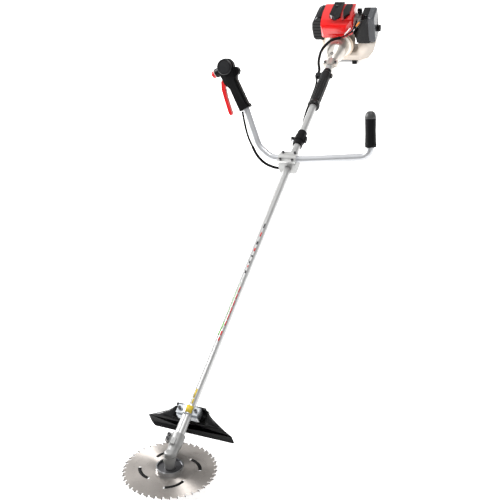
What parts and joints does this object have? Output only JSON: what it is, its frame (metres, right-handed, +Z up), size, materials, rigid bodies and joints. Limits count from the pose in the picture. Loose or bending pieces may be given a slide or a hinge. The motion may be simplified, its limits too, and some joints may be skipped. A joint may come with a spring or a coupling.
{
  "type": "brush cutter",
  "caption": "Petrol brush cutter with a toothed saw blade on an angled gear head, guard, straight pipe, U handlebar with throttle grip, harness hanger and rear engine with fuel tank.",
  "frame": {"origin": "Centre of the bounding box footprint at ground level, with the machine lying on its blade edge and engine stand.", "axes": "+X runs along the pipe from the blade towards the engine, +Z is up and +Y is to the right of an operator who faces the blade."},
  "size_m": [1.96, 0.5562, 0.3943],
  "materials": {
    "bar_silver": "satin anodised",
    "black_plastic": "moulded, fine texture",
    "bolt_steel": "black-oxide bolts",
    "bearing_steel": "polished bearing steel",
    "bush_plastic": "sintered, oil-filled",
    "carbide": "dull carbide",
    "cast_aluminium": "die-cast, shot-blasted",
    "gear_case_grey": "die-cast, matt grey",
    "dark_plastic": "moulded, satin",
    "filter_foam": "oiled foam",
    "grey_plastic": "moulded, satin",
    "muffler_steel": "heat-tinted pressed steel",
    "pipe_silver": "satin anodised",
    "red_plastic": "glossy",
    "black_rubber": "moulded rubber",
    "blade_steel": "ground saw steel",
    "bare_steel": "machined steel",
    "tank_plastic": "translucent natural polyethylene",
    "zinc_steel": "zinc-plated steel"
  },
  "bodies": {
    "machine": {"spindle_bearings": "bearing_steel", "pinion_bearing": "bearing_steel", "gear_case": "gear_case_grey", "main_pipe": "pipe_silver", "drive_shaft_bushes": "bush_plastic", "guard": "black_plastic", "guard_bracket": "zinc_steel", "guard_bracket_cap": "zinc_steel", "handle_clamp_base": "cast_aluminium", "handle_clamp_cap": "cast_aluminium", "clamp_bolts": "bolt_steel", "handlebar": "bar_silver", "left_grip": "black_rubber", "throttle_shell_front": "black_plastic", "throttle_shell_rear": "black_plastic", "throttle_head_cap": "dark_plastic", "hanger_clamp": "black_plastic", "shaft_grip": "black_rubber", "clutch_case": "cast_aluminium", "drum_bearing": "bearing_steel", "fan_housing": "cast_aluminium", "crankcase": "cast_aluminium", "cylinder": "cast_aluminium", "piston": "cast_aluminium", "connecting_rod": "bare_steel", "spark_plug": "zinc_steel", "cylinder_cover": "red_plastic", "plug_cap_cover": "dark_plastic", "muffler": "muffler_steel", "muffler_cover": "black_plastic", "carburettor": "cast_aluminium", "air_cleaner_case": "dark_plastic", "air_filter": "filter_foam", "air_cleaner_cover": "grey_plastic", "starter_case": "dark_plastic", "fuel_tank": "tank_plastic", "engine_stand": "black_plastic", "throttle_cable": "black_rubber"},
    "blade_unit": {"saw_blade": "blade_steel", "carbide_tips": "carbide", "upper_holder": "zinc_steel", "lower_holder": "zinc_steel", "blade_bolt": "bolt_steel", "gear_spindle": "bare_steel", "bevel_gear": "bare_steel"},
    "drive_line": {"pinion_gear": "bare_steel", "drive_shaft": "bare_steel", "clutch_drum": "bare_steel"},
    "crank_unit": {"crankshaft": "bare_steel", "flywheel_fan": "cast_aluminium", "clutch_shoes": "bare_steel"},
    "lever": {"throttle_lever": "red_plastic"},
    "stop_switch": {"stop_button": "red_plastic"},
    "dial": {"speed_dial": "black_plastic"},
    "eye": {"hanger_eye": "zinc_steel"},
    "choke": {"choke_knob": "black_plastic"},
    "cleaner_screw": {"cleaner_knob": "black_plastic"},
    "cap": {"fuel_cap": "black_plastic"},
    "recoil_pulley": {"starter_pulley": "grey_plastic"},
    "pull_handle": {"starter_handle": "black_plastic"}
  },
  "joints": [
    {"name": "blade_spin", "type": "hinge", "parent": "machine", "child": "blade_unit", "pos_m": [-0.86664, 0.00556, 0.08664], "axis": [0.5326, 0, 0.8464], "continuous": true},
    {"name": "drive_spin", "type": "hinge", "parent": "machine", "child": "drive_line", "pos_m": [-0.06673, 0.00556, 0.09806], "axis": [0.9999, 0, 0.0143], "continuous": true},
    {"name": "crank_spin", "type": "hinge", "parent": "machine", "child": "crank_unit", "pos_m": [0.85318, 0.00556, 0.11118], "axis": [0.9999, 0, 0.0143], "continuous": true},
    {"name": "throttle_squeeze", "type": "hinge", "parent": "machine", "child": "lever", "pos_m": [0.3024, 0.23089, 0.32941], "axis": [-0.8273, 0, 0.5618], "range_deg": [0, 11], "stiffness_Nm_per_rad": 0.6, "springref_deg": -17.19},
    {"name": "stop_press", "type": "slide", "parent": "machine", "child": "stop_switch", "axis": [0.268, -0.8789, 0.3946], "range_m": [0, 0.003], "stiffness_N_per_m": 600, "springref_m": -0.002},
    {"name": "dial_turn", "type": "hinge", "parent": "machine", "child": "dial", "pos_m": [0.31746, 0.19196, 0.35159], "axis": [-0.8273, 0, 0.5618], "range_deg": [0, 270]},
    {"name": "eye_swing", "type": "hinge", "parent": "machine", "child": "eye", "pos_m": [0.29124, 0.02856, 0.10316], "axis": [0.9999, 0, 0.0143], "range_deg": [-5, 110]},
    {"name": "choke_turn", "type": "hinge", "parent": "machine", "child": "choke", "pos_m": [0.90978, -0.07044, 0.21], "axis": [-0.0143, 0, 0.9999], "range_deg": [0, 75]},
    {"name": "cleaner_knob_turn", "type": "hinge", "parent": "machine", "child": "cleaner_screw", "pos_m": [0.9128, -0.13444, 0.13804], "axis": [0, 1, 0], "range_deg": [0, 360]},
    {"name": "fuel_cap_turn", "type": "hinge", "parent": "machine", "child": "cap", "pos_m": [0.9458, -0.08844, 0.0685], "axis": [0.9999, 0, 0.0143], "range_deg": [0, 360]},
    {"name": "pulley_spin", "type": "hinge", "parent": "machine", "child": "recoil_pulley", "pos_m": [0.96517, 0.00556, 0.11278], "axis": [0.9999, 0, 0.0143], "range_deg": [0, 1194]},
    {"name": "starter_pull", "type": "slide", "parent": "machine", "child": "pull_handle", "axis": [-0.0143, 0, 0.9999], "range_m": [0, 0.5], "stiffness_N_per_m": 4, "springref_m": -2}
  ],
  "couplings": [
    {"joint": "drive_spin", "follows": "blade_spin", "ratio": -1.3571},
    {"joint": "pulley_spin", "follows": "starter_pull", "rad_per_m": 41.667}
  ]
}
